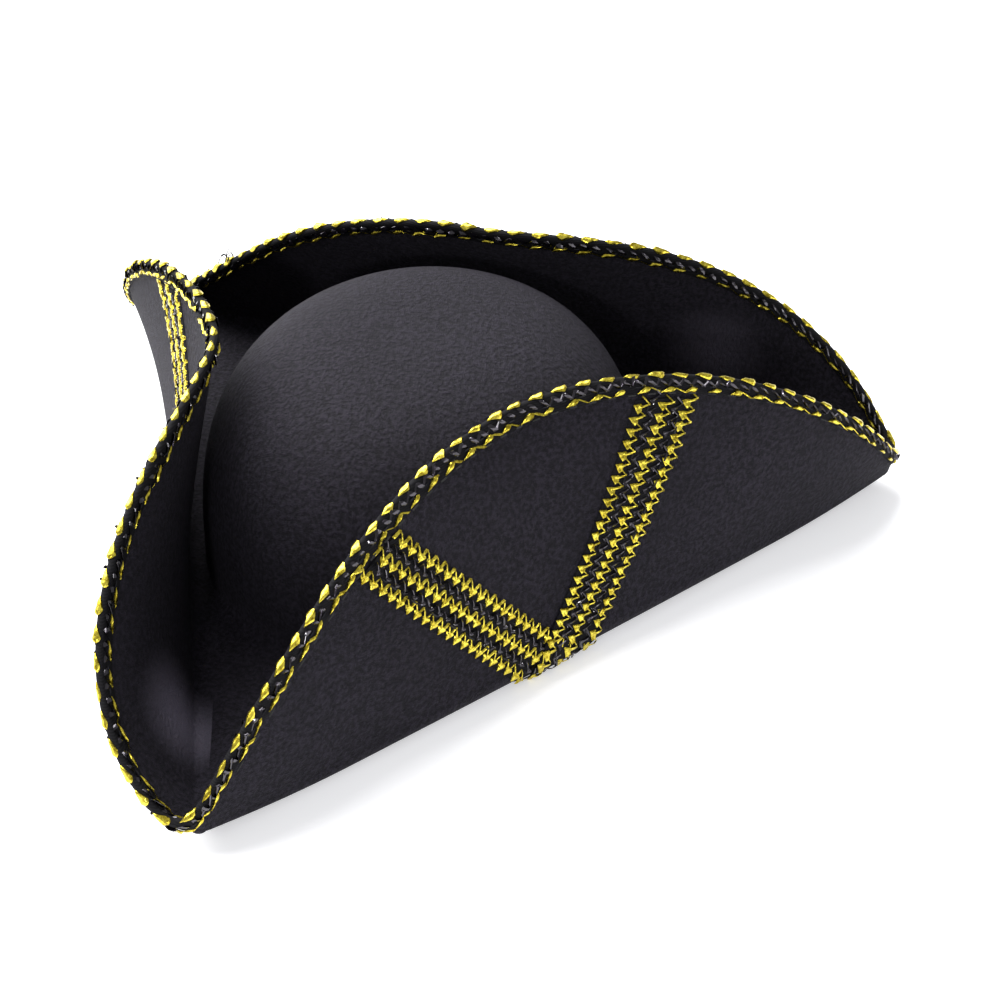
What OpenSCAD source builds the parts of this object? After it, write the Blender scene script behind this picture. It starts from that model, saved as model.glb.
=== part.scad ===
// Tricorn pirate hat: a pressed felt crown and brim, three brim flaps that fold up
// along living hinges, plaited foil braid round the edge and in a V on each flap,
// and a sweatband inside. The origin is the middle of the head opening, on the
// surface that the hat rests on. The front tip points along -Y.

/* [Felt] */
// Thickness of the pressed felt
felt_t = 2; // [1.4:0.1:2.4]

/* [Crown] */
// Outer width of the crown where it meets the brim
crown_w = 178; // [145:1:182]
// Outer length of the crown where it meets the brim
crown_l = 192; // [155:1:196]
// Height of the crown above the surface
crown_h = 98; // [75:1:125]
// Squareness of the crown's profile, where 2 is an ellipse
crown_power = 2.9; // [2:0.1:3.2]

/* [Brim] */
// Radius of the whole brim when it is laid flat
brim_r = 206; // [200:1:260]
// Width trimmed off the middle of each flap, where its rim is cut straighter
brim_trim = 3.5; // [0:0.5:6]
// Sideways place of the brim's middle from the crown's middle
brim_x = -5.6; // [-7:0.1:2]
// Radius of the rounded fold at the middle of a flap
fold_r = 7; // [4:0.5:8]
// Height of the three tips above the surface
tip_lift = 6; // [0:0.5:12]
// Share of each half flap, from its middle, that lies flat before the tip lifts
tip_flat = 0.6; // [0.4:0.05:0.8]
// Gap at each fold, where the flap's own body starts
hinge_gap = 0.6; // [0.3:0.1:1]

/* [Left flap] */
// Lean of the flap's middle towards the crown, in degrees
left_lean = 25; // [0:1:26]
// Flare at its front end, in degrees
left_front_flare = 28; // [0:1:80]
// Flare at its rear end, in degrees
left_rear_flare = 40; // [0:1:80]
// Outward bow of its fold
left_bow = 4; // [2:0.5:12]
// Bulge of the flap between its fold and its rim
left_belly = 6; // [5:0.5:12]
// Distance of the V's foot from the flap's middle
left_v_foot = -13; // [-20:1:20]

/* [Right flap] */
// Lean of the flap's middle towards the crown, in degrees
right_lean = 12; // [0:1:16]
// Flare at its front end, in degrees
right_front_flare = 71; // [0:1:80]
// Flare at its rear end, in degrees
right_rear_flare = 40; // [0:1:80]
// Outward bow of its fold
right_bow = -8; // [-9:0.5:12]
// Bulge of the flap between its fold and its rim
right_belly = 0; // [0:0.5:12]
// Share of its width that is missing at the rear tip
right_rear_taper = 0.7; // [0:0.05:0.85]
// Distance of the V's foot from the flap's middle
right_v_foot = 13; // [-20:1:20]

/* [Back flap] */
// Lean of the flap's middle towards the crown, in degrees
back_lean = 21; // [0:1:24]
// Flare at its left end, in degrees
back_left_flare = 52; // [0:1:80]
// Flare at its right end, in degrees, where less than 0 leans inwards
back_right_flare = -10; // [-30:1:80]
// Outward bow of its fold
back_bow = 7; // [5:0.5:12]
// Bulge of the flap between its fold and its rim
back_belly = 3; // [0:0.5:12]
// Share of its width that is missing at the right tip
back_right_taper = 0.85; // [0:0.05:0.85]
// Distance of the V's foot from the flap's middle
back_v_foot = 0; // [-20:1:20]

/* [Braid] */
// Width of the braid in the V strips
strip_w = 24; // [12:1:30]
// Thickness of the V strips
strip_t = 1.4; // [0.8:0.1:2.5]
// Angle of each V strip from upright, in degrees
strip_angle = 40; // [30:1:50]
// Depth of the edge braid on each side of the rim
edge_depth = 10.5; // [6:0.5:16]
// Thickness of the edge braid
edge_t = 1.3; // [0.8:0.1:2.5]
// Clearance between a braid and the felt under it
braid_gap = 0.1; // [0.05:0.05:0.3]
// Thickness of the strips' ends, wrapped under the fold
wrap_t = 1.2; // [0.8:0.1:2]

/* [Sweatband] */
// Height of the sweatband's top edge above the surface
band_h = 32; // [15:1:45]
// Thickness of the sweatband
band_t = 1; // [0.6:0.1:2]
// Clearance between the sweatband and the crown
band_gap = 0.2; // [0.1:0.05:0.5]

/* [Stitching] */
// Thickness of the sewing thread
thread_d = 0.6; // [0.4:0.1:1]
// Length of one stitch
stitch_l = 3; // [2:0.5:5]
// Distance from one stitch to the next
stitch_pitch = 8; // [6:0.5:16]

/* [Hidden] */

felt_color = [0.07, 0.065, 0.08];
thread_color = [0.03, 0.03, 0.035];
gold_color = [0.85, 0.68, 0.08];
foil_color = [0.12, 0.11, 0.14];

// Each flap is a segment of the flat brim, between a chord and the rim. Seen from
// above, the three chords make a triangle round the crown.
chord = brim_r / 2;
half_chord = brim_r * sqrt(3) / 2;

// A flap's values, in the order of the names below. "Start" and "end" are its tips,
// in the order that they come anticlockwise, seen from above.
LEFT = [-30, left_lean, left_front_flare, left_rear_flare,
    left_bow, 0, 0, left_belly, left_v_foot];
BACK = [90, back_lean, back_left_flare, back_right_flare,
    back_bow, 0, back_right_taper, back_belly, back_v_foot];
RIGHT = [210, right_lean, right_rear_flare, right_front_flare,
    right_bow, right_rear_taper, 0, right_belly, right_v_foot];
FLAPS = [LEFT, BACK, RIGHT];
FACING = 0;
LEAN = 1;
START_FLARE = 2;
END_FLARE = 3;
BOW = 4;
START_TAPER = 5;
END_TAPER = 6;
BELLY = 7;
V_FOOT = 8;

flap_reach = 0.955;    // a flap's end, as a share of its half chord
tip_start = 0.965;     // where the brim base's own tip starts, as the same share
tip_end = 0.985;       // where that tip closes across to the next flap's tip
flap_columns = 44;     // steps along a flap
flap_rows = 9;         // steps from a flap's fold to its rim
fold_steps = 4;        // steps round the fold
crown_columns = 60;    // steps round the crown
crown_rows = 16;       // steps up the crown
strip_steps = 16;      // steps along a V strip
strip_columns = 4;     // steps across a V strip
felt_half = felt_t / 2;
braid_under = felt_half + braid_gap;
braid_over = braid_under + edge_t;
strip_over = braid_under + strip_t;
strip_end_gap = 0.5;   // from a strip to the edge braid above it

// ---- The flaps' shape. s runs from -1 to 1 between the tips, d is the distance
// ---- along the felt from where the fold starts, and off is how far outside the
// ---- felt's middle a point lies.

function fold_radius(s) = fold_r * sqrt(1 - 0.97 * s * s);
function taper(f, s) = s < 0 ? f[START_TAPER] : f[END_TAPER];
function flare(f, s) = s < 0 ? f[START_FLARE] : f[END_FLARE];
function flat_width(f, s) =
    max(sqrt(max(brim_r * brim_r - pow(s * half_chord, 2), chord * chord)) - chord
        - brim_trim * (1 - s * s), 0)
    * (1 - taper(f, s) * pow(s, 4));
function lean(f, s) = f[LEAN] - flare(f, s) * pow(abs(s), 1.5);
function tip_rise(s) = tip_lift * pow(max(abs(s) - tip_flat, 0) / (1 - tip_flat), 2);
function rim_d(f, s) = flat_width(f, s) + fold_radius(s);
function split_d(s) = fold_radius(s) * PI / 2;
function wall_d(f, s) = fold_radius(s) * (90 + lean(f, s)) * PI / 180;
function wall_share(f, s, d) =
    min(max(d - wall_d(f, s), 0) / max(rim_d(f, s) - wall_d(f, s), 0.01), 1);
function belly(f, s, d) = f[BELLY] * (1 - s * s) * sin(180 * wall_share(f, s, d));

// Outward distance from the chord, and height, of a point of the flap
function section(f, s, d, off) =
    let (
        r = fold_radius(s),
        turned = min(max(d, 0) / r * 180 / PI, 90 + lean(f, s)),
        flat = min(d, 0),
        straight = max(d - wall_d(f, s), 0)
    ) [
        -r + flat + (r + off) * sin(turned) + straight * cos(turned)
            + belly(f, s, d) + f[BOW] * (1 - s * s),
        felt_half + tip_rise(s) + r - (r + off) * cos(turned)
            + straight * sin(turned)
    ];

function placed(f, s, oz) =
    let (a = f[FACING], out = chord + oz[0], along = s * half_chord) [
        brim_x + cos(a) * out - sin(a) * along,
        sin(a) * out + cos(a) * along,
        oz[1]
    ];

function flap_point(f, s, d, off) = placed(f, s, section(f, s, d, off));

// ---- The crown's shape. q runs from 0 at the brim to 90 at the top, and inset is
// ---- how far inside the crown's outer surface a point lies.

function oval(inset, a) =
    [(crown_w / 2 - inset) * cos(a), (crown_l / 2 - inset) * sin(a)];
function crown_point(inset, q, a) =
    let (
        k = 2 / crown_power,
        flat = oval(inset, a) * pow(cos(q), k),
        rise = (crown_h - felt_t - inset) * pow(sin(q), k)
    ) [flat[0], flat[1], felt_t + rise];
function narrowing(inset, z) =
    pow(1 - pow(max(z - felt_t, 0) / (crown_h - felt_t - inset), crown_power),
        1 / crown_power);
function wall_point(inset, z, a) =
    let (flat = oval(inset, a) * narrowing(inset, z)) [flat[0], flat[1], z];

// ---- Solids from grids of points

// The numbers of the two triangles of one cell of a grid
function cell(a, b, c, d) = [[a, b, c], [a, c, d]];

// A closed solid between an outer and an inner grid of points. The rows go round
// in a ring where ring is true.
module slab(outer, inner, ring = false) {
    rows = len(outer);
    cols = len(outer[0]);
    size = rows * cols;
    steps = ring ? rows : rows - 1;
    points = [for (grid = [outer, inner], row = grid, p = row) p];
    faces = [
        for (i = [0:steps - 1])
            let (a = i * cols, b = ((i + 1) % rows) * cols)
            each concat(
                [for (j = [0:cols - 2])
                    each cell(a + j, a + j + 1, b + j + 1, b + j)],
                [for (j = [0:cols - 2])
                    each cell(size + a + j, size + b + j,
                        size + b + j + 1, size + a + j + 1)],
                cell(a, b, size + b, size + a),
                cell(a + cols - 1, size + a + cols - 1,
                    size + b + cols - 1, b + cols - 1)
            ),
        if (!ring)
            for (j = [0:cols - 2])
                let (e = (rows - 1) * cols)
                each concat(
                    cell(j, size + j, size + j + 1, j + 1),
                    cell(e + j, e + j + 1, size + e + j + 1, size + e + j)
                )
    ];
    polyhedron(points = points, faces = faces, convexity = 6);
}

// One stitch of thread from p to q
module stitch(p, q) {
    v = q - p;
    l = norm(v);
    translate(p)
        rotate([0, acos(v[2] / l), atan2(v[1], v[0])])
            cylinder(h = l, d = thread_d, $fn = 6);
}

// ---- The felt

// The oval dome, open below
module crown() {
    turns = [for (j = [0:crown_columns - 1]) 360 * j / crown_columns];
    climbs = [for (i = [0:crown_rows - 1]) 45 * (1 - cos(180 * i / crown_rows))];
    ring_points = [
        for (inset = [0, felt_t], q = climbs, a = turns) crown_point(inset, q, a)
    ];
    shell = crown_rows * crown_columns;
    tops = [crown_point(0, 90, 0), crown_point(felt_t, 90, 0)];
    faces = [
        for (j = [0:crown_columns - 1])
            let (k = (j + 1) % crown_columns, last = shell - crown_columns)
            each concat(
                [for (i = [0:crown_rows - 2])
                    let (a = i * crown_columns, b = a + crown_columns)
                    each concat(
                        cell(a + j, b + j, b + k, a + k),
                        cell(shell + a + j, shell + a + k, shell + b + k, shell + b + j)
                    )],
                cell(j, k, shell + k, shell + j),
                [
                    [last + j, 2 * shell, last + k],
                    [shell + last + j, shell + last + k, 2 * shell + 1]
                ]
            )
    ];
    color(felt_color)
        polyhedron(points = concat(ring_points, tops), faces = faces, convexity = 4);
}

// Rows of the brim base: how far along the felt each one runs to, for one flap.
// It stops where the flap's own body starts, but runs to the rim at the tips.
function base_stop(f, s) = abs(s) >= tip_start ? rim_d(f, s) : split_d(s);
function base_row(f, s, off) =
    let (
        start = flap_point(f, s, 0, off),
        a = atan2(start[1] * crown_w, start[0] * crown_l),
        mouth = oval(felt_t, a)
    ) concat(
        [[mouth[0], mouth[1], felt_half - off]],
        [for (j = [0:fold_steps])
            flap_point(f, s, base_stop(f, s) * j / fold_steps, off)]
    );

// The flat part of the brim, its three folds and its three tips
module brim_base() {
    middle = [for (i = [0:flap_columns]) -0.962 + 1.924 * i / flap_columns];
    across = concat([-tip_end, -tip_start], middle, [tip_start, tip_end]);
    outer = [for (f = FLAPS, s = across) base_row(f, s, felt_half)];
    inner = [for (f = FLAPS, s = across) base_row(f, s, -felt_half)];
    color(felt_color) slab(outer, inner, ring = true);
}

// A flap, from just above its fold to its rim
module flap(f) {
    across = [for (i = [0:flap_columns]) flap_reach * (2 * i / flap_columns - 1)];
    function reach(s, j) =
        let (low = split_d(s) + hinge_gap) low + (rim_d(f, s) - low) * j / flap_rows;
    color(felt_color) slab(
        [for (s = across) [for (j = [0:flap_rows])
            flap_point(f, s, reach(s, j), felt_half)]],
        [for (s = across) [for (j = [0:flap_rows])
            flap_point(f, s, reach(s, j), -felt_half)]]
    );
}

module flap_left() { flap(LEFT); }
module flap_back() { flap(BACK); }
module flap_right() { flap(RIGHT); }

// ---- The braid

// How far down the edge braid reaches, which is less near the tips
function edge_reach(f, s) = min(edge_depth, 0.85 * (rim_d(f, s) - split_d(s)));

// The edge braid's outline across the rim, over the felt at the distance off
function edge_row(f, s, off) =
    let (
        rim = rim_d(f, s),
        low = rim - edge_reach(f, s),
        over = off - felt_half,
        corner = 0.7
    ) [
        flap_point(f, s, low, off),
        flap_point(f, s, (low + rim) / 2, off),
        flap_point(f, s, rim, off),
        flap_point(f, s, rim + corner * over, corner * off),
        flap_point(f, s, rim + over, 0),
        flap_point(f, s, rim + corner * over, -corner * off),
        flap_point(f, s, rim, -off),
        flap_point(f, s, (low + rim) / 2, -off),
        flap_point(f, s, low, -off)
    ];

// The braid folded over a flap's rim
module edge_braid(f) {
    across = [for (i = [0:flap_columns]) flap_reach * (2 * i / flap_columns - 1)];
    color(gold_color) slab(
        [for (s = across) edge_row(f, s, braid_over)],
        [for (s = across) edge_row(f, s, braid_under)]
    );
}

module edge_braid_left() { edge_braid(LEFT); }
module edge_braid_back() { edge_braid(BACK); }
module edge_braid_right() { edge_braid(RIGHT); }

// A V strip is straight on the flat felt. Its foot is on the fold, beside the
// other strip's. side is -1 for the strip at the flap's start and 1 at its end.
foot_shift = strip_w / 2 / cos(strip_angle) + braid_gap;

// Place on the flat felt, [along the chord, from the fold], of a point of a strip:
// d up from the fold, and b across from the strip's middle line
function on_strip(f, side, d, b) = [
    f[V_FOOT] + side * (foot_shift + (d - split_d(0)) * tan(strip_angle)
        + b / cos(strip_angle)),
    d
];
function strip_top(f, side, b, d, tries = 6) =
    tries == 0 ? d :
    let (s = on_strip(f, side, d, b)[0] / half_chord)
    strip_top(f, side, b, (d + rim_d(f, s) - edge_reach(f, s) - strip_end_gap) / 2,
        tries - 1);
function strip_point(f, side, i, j, off) =
    let (
        b = strip_w * (j / strip_columns - 0.5),
        low = split_d(0) + hinge_gap + strip_end_gap,
        high = strip_top(f, side, b, chord * 0.8),
        d = low + (high - low) * i / strip_steps
    ) flap_point(f, on_strip(f, side, d, b)[0] / half_chord, d, off);

module strip(f, side) {
    function grid(off) = [
        for (j = [0:strip_columns])
            [for (i = [0:strip_steps])
                strip_point(f, side, i, side > 0 ? j : strip_columns - j, off)]
    ];
    color(gold_color) slab(grid(strip_over), grid(braid_under));
}

module strip_left_front() { strip(LEFT, -1); }
module strip_left_rear() { strip(LEFT, 1); }
module strip_back_left() { strip(BACK, -1); }
module strip_back_right() { strip(BACK, 1); }
module strip_right_rear() { strip(RIGHT, -1); }
module strip_right_front() { strip(RIGHT, 1); }

// The cut ends of a flap's two strips, wrapped under the fold and glued there
module strip_ends(f) {
    half = 2 * foot_shift;
    across = [for (i = [-6:6]) (f[V_FOOT] + half * i / 6) / half_chord];
    function row(s, off) = [
        for (j = [0:fold_steps])
            flap_point(f, s, split_d(s) * (0.5 + 0.45 * j / fold_steps), off)
    ];
    color(foil_color) slab(
        [for (s = across) row(s, braid_under + wrap_t)],
        [for (s = across) row(s, braid_under)]
    );
}

module strip_ends_left() { strip_ends(LEFT); }
module strip_ends_back() { strip_ends(BACK); }
module strip_ends_right() { strip_ends(RIGHT); }

// Stitches that hold a flap's edge braid and its two strips
module stitches(f) {
    rest = braid_gap + thread_d / 2;
    rim_half = 0.88 * half_chord;
    rim_count = floor(2 * rim_half / stitch_pitch);
    color(thread_color) {
        for (i = [0:rim_count]) {
            x = -rim_half + 2 * rim_half * i / rim_count;
            s = x / half_chord;
            t = (x + stitch_l) / half_chord;
            stitch(
                flap_point(f, s, rim_d(f, s) - edge_reach(f, s) / 2, braid_over + rest),
                flap_point(f, t, rim_d(f, t) - edge_reach(f, t) / 2, braid_over + rest)
            );
        }
        for (side = [-1, 1]) {
            low = split_d(0) + stitch_pitch;
            high = strip_top(f, side, 0, chord * 0.8) - stitch_pitch;
            count = floor((high - low) / stitch_pitch);
            for (i = [0:count]) {
                d = low + (high - low) * i / count;
                p = on_strip(f, side, d, 0);
                q = on_strip(f, side, d + stitch_l * cos(strip_angle), 0);
                stitch(
                    flap_point(f, p[0] / half_chord, p[1], strip_over + rest),
                    flap_point(f, q[0] / half_chord, q[1], strip_over + rest)
                );
            }
        }
    }
}

module stitches_left() { stitches(LEFT); }
module stitches_back() { stitches(BACK); }
module stitches_right() { stitches(RIGHT); }

// ---- The sweatband

band_outer = felt_t + band_gap;
band_inner = band_outer + band_t;

module sweatband() {
    heights = [0.5, felt_t, 0.35 * band_h, 0.7 * band_h, band_h];
    turns = [for (j = [0:crown_columns - 1]) 360 * j / crown_columns];
    color(thread_color) slab(
        [for (a = turns) [for (z = heights) wall_point(band_outer, z, a)]],
        [for (a = turns) [for (z = heights) wall_point(band_inner, z, a)]],
        ring = true
    );
}

// The row of stitches near the sweatband's lower edge
module sweatband_stitches() {
    inset = band_inner + braid_gap + thread_d / 2;
    z = felt_t + 2 * thread_d;
    count = floor(PI * (crown_w + crown_l) / 2 / stitch_pitch);
    turn = 360 / count;
    share = stitch_l / stitch_pitch;
    color(thread_color)
        for (i = [0:count - 1])
            stitch(wall_point(inset, z, turn * i), wall_point(inset, z, turn * (i + share)));
}

crown();
brim_base();
sweatband();
sweatband_stitches();
flap_left();
flap_back();
flap_right();
edge_braid_left();
edge_braid_back();
edge_braid_right();
strip_left_front();
strip_left_rear();
strip_back_left();
strip_back_right();
strip_right_rear();
strip_right_front();
stitches_left();
stitches_back();
stitches_right();
strip_ends_left();
strip_ends_back();
strip_ends_right();
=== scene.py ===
"""A black felt tricorn with gold and black foil lace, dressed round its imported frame.

Lengths in the classes below are in millimetres. Meshes are made in metres.
"""

import logging
import math
from dataclasses import dataclass, field
from enum import Enum
from typing import Callable

import bpy
import numpy as np
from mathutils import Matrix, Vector


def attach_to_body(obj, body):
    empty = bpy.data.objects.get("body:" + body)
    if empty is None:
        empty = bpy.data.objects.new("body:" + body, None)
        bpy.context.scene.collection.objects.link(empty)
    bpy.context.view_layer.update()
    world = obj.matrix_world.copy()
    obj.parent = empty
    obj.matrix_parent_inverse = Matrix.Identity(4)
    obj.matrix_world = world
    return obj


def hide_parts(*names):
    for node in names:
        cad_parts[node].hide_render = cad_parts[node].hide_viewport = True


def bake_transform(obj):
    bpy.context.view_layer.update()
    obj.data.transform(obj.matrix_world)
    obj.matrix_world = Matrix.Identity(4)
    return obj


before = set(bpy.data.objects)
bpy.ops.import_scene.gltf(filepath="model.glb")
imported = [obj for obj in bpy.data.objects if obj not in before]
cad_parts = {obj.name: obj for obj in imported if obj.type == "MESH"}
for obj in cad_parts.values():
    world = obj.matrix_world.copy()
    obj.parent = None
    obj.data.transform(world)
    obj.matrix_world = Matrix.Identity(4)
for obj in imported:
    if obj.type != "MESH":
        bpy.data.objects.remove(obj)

LOG = logging.getLogger("tricorn")
MM = 0.001
HAT_BODY = "hat_body"
Array = np.ndarray
Place = Callable[[Array, Array, Array], Array]


# ---------------------------------------------------------------- node graphs


class Sock:
    """A number that a node gives out. Sums and products of it add Math nodes."""

    def __init__(self, graph: "Graph", socket: bpy.types.NodeSocket) -> None:
        """Wrap one output socket of a graph."""
        self.graph = graph
        self.socket = socket

    def __add__(self, other: "Sock | float") -> "Sock":
        """Return self + other."""
        return self.graph.math("ADD", self, other)

    def __radd__(self, other: float) -> "Sock":
        """Return other + self."""
        return self.graph.math("ADD", other, self)

    def __sub__(self, other: "Sock | float") -> "Sock":
        """Return self - other."""
        return self.graph.math("SUBTRACT", self, other)

    def __rsub__(self, other: float) -> "Sock":
        """Return other - self."""
        return self.graph.math("SUBTRACT", other, self)

    def __mul__(self, other: "Sock | float") -> "Sock":
        """Return self * other."""
        return self.graph.math("MULTIPLY", self, other)

    def __rmul__(self, other: float) -> "Sock":
        """Return other * self."""
        return self.graph.math("MULTIPLY", other, self)


class Graph:
    """A shader or geometry node tree that is being built."""

    def __init__(self, tree: bpy.types.NodeTree) -> None:
        """Start on an existing tree."""
        self.tree = tree

    def node(self, kind: str, settings: dict | None = None,
             inputs: dict | None = None) -> bpy.types.Node:
        """Add one node.

        Args:
            kind: the node's type.
            settings: its properties.
            inputs: values or links of its sockets, by name or number.

        Returns:
            The new node.
        """
        made = self.tree.nodes.new(kind)
        for name, value in (settings or {}).items():
            setattr(made, name, value)
        self.feed(made, inputs or {})
        return made

    def feed(self, node: bpy.types.Node, inputs: dict) -> None:
        """Set or link a node's inputs.

        Args:
            node: the node.
            inputs: values or links of its sockets, by name or number.
        """
        for key, value in inputs.items():
            if isinstance(value, Sock):
                self.tree.links.new(value.socket, node.inputs[key])
            else:
                node.inputs[key].default_value = value

    def get(self, kind: str, output: str | int = 0, settings: dict | None = None,
            inputs: dict | None = None) -> Sock:
        """Add one node and return one of its outputs.

        Args:
            kind: the node's type.
            output: the output's name or number.
            settings: as in node().
            inputs: as in node().

        Returns:
            The output, ready for sums.
        """
        return Sock(self, self.node(kind, settings, inputs).outputs[output])

    def math(self, operation: str, left: "Sock | float", right: "Sock | float") -> Sock:
        """Add one Math node.

        Args:
            operation: the Math node's operation.
            left: its first value.
            right: its second value.

        Returns:
            The result.
        """
        return self.get("ShaderNodeMath", 0, {"operation": operation}, {0: left, 1: right})

    def blend(self, factor: Sock, low: "Sock | tuple", high: tuple) -> Sock:
        """Mix two colours.

        Args:
            factor: 0 for low and 1 for high.
            low: a colour that a node gives out, or one of three numbers.
            high: a colour of three numbers.

        Returns:
            The mixed colour.
        """
        first = low if isinstance(low, Sock) else (*low, 1.0)
        return self.get("ShaderNodeMix", 2, {"data_type": "RGBA"},
                        {0: factor, 6: first, 7: (*high, 1.0)})

    def ramp(self, value: Sock, low: float, high: float) -> Sock:
        """Stretch a value, so that low gives 0 and high gives 1.

        Args:
            value: what to stretch.
            low: the value that gives 0.
            high: the value that gives 1.

        Returns:
            The stretched value.
        """
        made = self.node("ShaderNodeValToRGB", None, {0: value})
        for element, position in zip(made.color_ramp.elements, (low, high)):
            element.position = position
        return Sock(self, made.outputs[0])


# ------------------------------------------------------------------- finishes


@dataclass(frozen=True)
class Finish:
    """What every finish has: a name, and the colour of its body."""

    name: str
    colour: tuple[float, float, float]

    def start(self) -> tuple[bpy.types.Material, Graph, bpy.types.Node, Sock]:
        """Make the material and return it with its graph, shader and Object coordinates."""
        material = bpy.data.materials.new(self.name)
        material.use_nodes = True
        graph = Graph(material.node_tree)
        shader = material.node_tree.nodes["Principled BSDF"]
        place = graph.get("ShaderNodeTexCoord", "Object")
        return material, graph, shader, place

    @staticmethod
    def noise(graph: Graph, place: Sock, size: float, detail: float = 2.0) -> Sock:
        """Cloudy noise whose lumps are about size millimetres across.

        Args:
            graph: the material's graph.
            place: coordinates in metres.
            size: width of a lump in millimetres.
            detail: how many finer layers it has.

        Returns:
            The noise, from 0 to 1.
        """
        return graph.get("ShaderNodeTexNoise", 0, None,
                         {"Vector": place, "Scale": 1.0 / (size * MM), "Detail": detail})

    @staticmethod
    def bump(graph: Graph, shader: bpy.types.Node, height: Sock, depth: float,
             strength: float) -> None:
        """Raise a surface by a height.

        Args:
            graph: the material's graph.
            shader: the shader whose normal it turns.
            height: the relief, from 0 to 1.
            depth: what 1 stands for, in millimetres.
            strength: the share of the relief that shows.
        """
        normal = graph.get("ShaderNodeBump", 0, None,
                           {"Height": height, "Distance": depth * MM, "Strength": strength})
        graph.feed(shader, {"Normal": normal})


@dataclass(frozen=True)
class Felt(Finish):
    """Pressed felt: a fine pebbled nap, with glossy spots that also carry a painted sheen.

    pebble, fibre and cloud are the widths of its three kinds of lumps. matt and
    pressed are roughnesses. Each sheen spot lowers the roughness and lightens the
    colour towards a pale tint, a painted reflection; it has a centre, a radius,
    the way that its side of the felt faces, in degrees from +X, and a strength.
    """

    worn: tuple[float, float, float] = (0.0215, 0.0180, 0.0285)
    pebble: float = 1.7
    fibre: float = 0.4
    cloud: float = 38.0
    fibre_share: float = 0.35
    nap_range: tuple[float, float] = (0.44, 0.58)
    cloud_range: tuple[float, float] = (0.35, 1.15)
    relief: float = 4.0
    matt: float = 0.8
    pressed: float = 0.404
    rough_spread: float = 0.12
    flattened: float = 0.6
    # Pale tint that the glossy spots are lightened towards: a painted sheen.
    painted_sheen: tuple[float, float, float] = (0.150, 0.135, 0.180)
    gloss_and_painted_sheen_spots: tuple = (((-37.0, -155.0, 12.0), 29.0, 30.0, 1.1),
                          ((88.0, 110.0, 41.0), 28.0, -90.0, 0.4))

    def material(self) -> bpy.types.Material:
        """Build the felt."""
        material, graph, shader, place = self.start()
        pebbles = self.noise(graph, place, self.pebble, 3.0)
        fibres = self.noise(graph, place, self.fibre)
        clouds = self.noise(graph, place, self.cloud)
        nap = pebbles * (1 - self.fibre_share) + fibres * self.fibre_share
        dark, light = self.cloud_range
        tone = graph.ramp(nap, *self.nap_range) * (clouds * (light - dark) + dark)
        spot_masks = [self._sheen_spot(graph, place, *mark) for mark in self.gloss_and_painted_sheen_spots]
        gloss_and_sheen_mask = sum(spot_masks[1:], spot_masks[0])
        # Painted sheen: in the glossy spots the colour is lightened towards the pale tint.
        colour = graph.blend(gloss_and_sheen_mask, graph.blend(tone, self.colour, self.worn), self.painted_sheen)
        rough = self.matt - gloss_and_sheen_mask * (self.matt - self.pressed)
        graph.feed(shader, {
            "Base Color": colour, "Roughness": rough + (fibres - 0.5) * self.rough_spread,
            "Specular IOR Level": 0.2, "Sheen Weight": 0.02, "Sheen Roughness": 0.45,
            "Sheen Tint": (0.75, 0.72, 0.9, 1.0)})
        self.bump(graph, shader, nap * (1.0 - gloss_and_sheen_mask * self.flattened), self.relief, 0.75)
        return material

    @staticmethod
    def _sheen_spot(graph: Graph, place: Sock, centre: tuple, radius: float, facing: float,
              strength: float) -> Sock:
        """A soft round spot of gloss and painted sheen, on the side of the felt that faces one
        way.

        Args:
            graph: the material's graph.
            place: coordinates in metres.
            centre: its middle, in millimetres.
            radius: where it has faded out, in millimetres.
            facing: the way that this side of the felt faces, in degrees from +X.
            strength: its value at the middle.

        Returns:
            The strength at its middle, falling to 0 at the radius.
        """
        turn = math.radians(facing)
        normal = graph.get("ShaderNodeTexCoord", "Normal")
        towards = graph.get("ShaderNodeVectorMath", "Value", {"operation": "DOT_PRODUCT"},
                            {0: normal, 1: (math.cos(turn), math.sin(turn), 0.0)})
        side = graph.math("GREATER_THAN", towards, 0.0)
        spot = tuple(value * MM for value in centre)
        away = graph.get("ShaderNodeVectorMath", "Value", {"operation": "DISTANCE"},
                         {0: place, 1: spot})
        fade = graph.get("ShaderNodeMapRange", 0, {"interpolation_type": "SMOOTHSTEP"},
                         {"Value": away, "From Min": 0.0, "From Max": radius * MM,
                          "To Min": 1.0, "To Max": 0.0})
        return fade * side * strength


@dataclass(frozen=True)
class Foil(Finish):
    """Plastic foil tape, creased and never quite flat.

    crease_size and scuff_size are the widths of its lumps, and crease is their
    depth. gloss is its lowest roughness. deep is a darker colour painted where
    the crease relief is low, as painted shade.
    """

    # Darker colour painted into the low places of the crease relief: painted shade.
    deep: tuple[float, float, float] = (0.30, 0.215, 0.010)
    gloss: float = 0.2
    gloss_spread: float = 0.14
    crease: float = 0.07
    crease_size: float = 1.6
    crease_range: tuple[float, float] = (0.3, 0.62)
    scuff_size: float = 0.5
    coat: float = 0.0

    def material(self) -> bpy.types.Material:
        """Build the foil."""
        material, graph, shader, place = self.start()
        creases = self.noise(graph, place, self.crease_size)
        scuffs = self.noise(graph, place, self.scuff_size)
        # Painted shade: the colour darkens towards deep where the crease relief is low.
        tone = graph.ramp(creases, *self.crease_range)
        graph.feed(shader, {
            "Base Color": graph.blend(tone, self.deep, self.colour),
            "Roughness": self.gloss + scuffs * self.gloss_spread,
            "Metallic": 1.0, "Coat Weight": self.coat, "Coat Roughness": 0.08})
        self.bump(graph, shader, creases + scuffs * 0.2, self.crease, 0.8)
        return material


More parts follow.
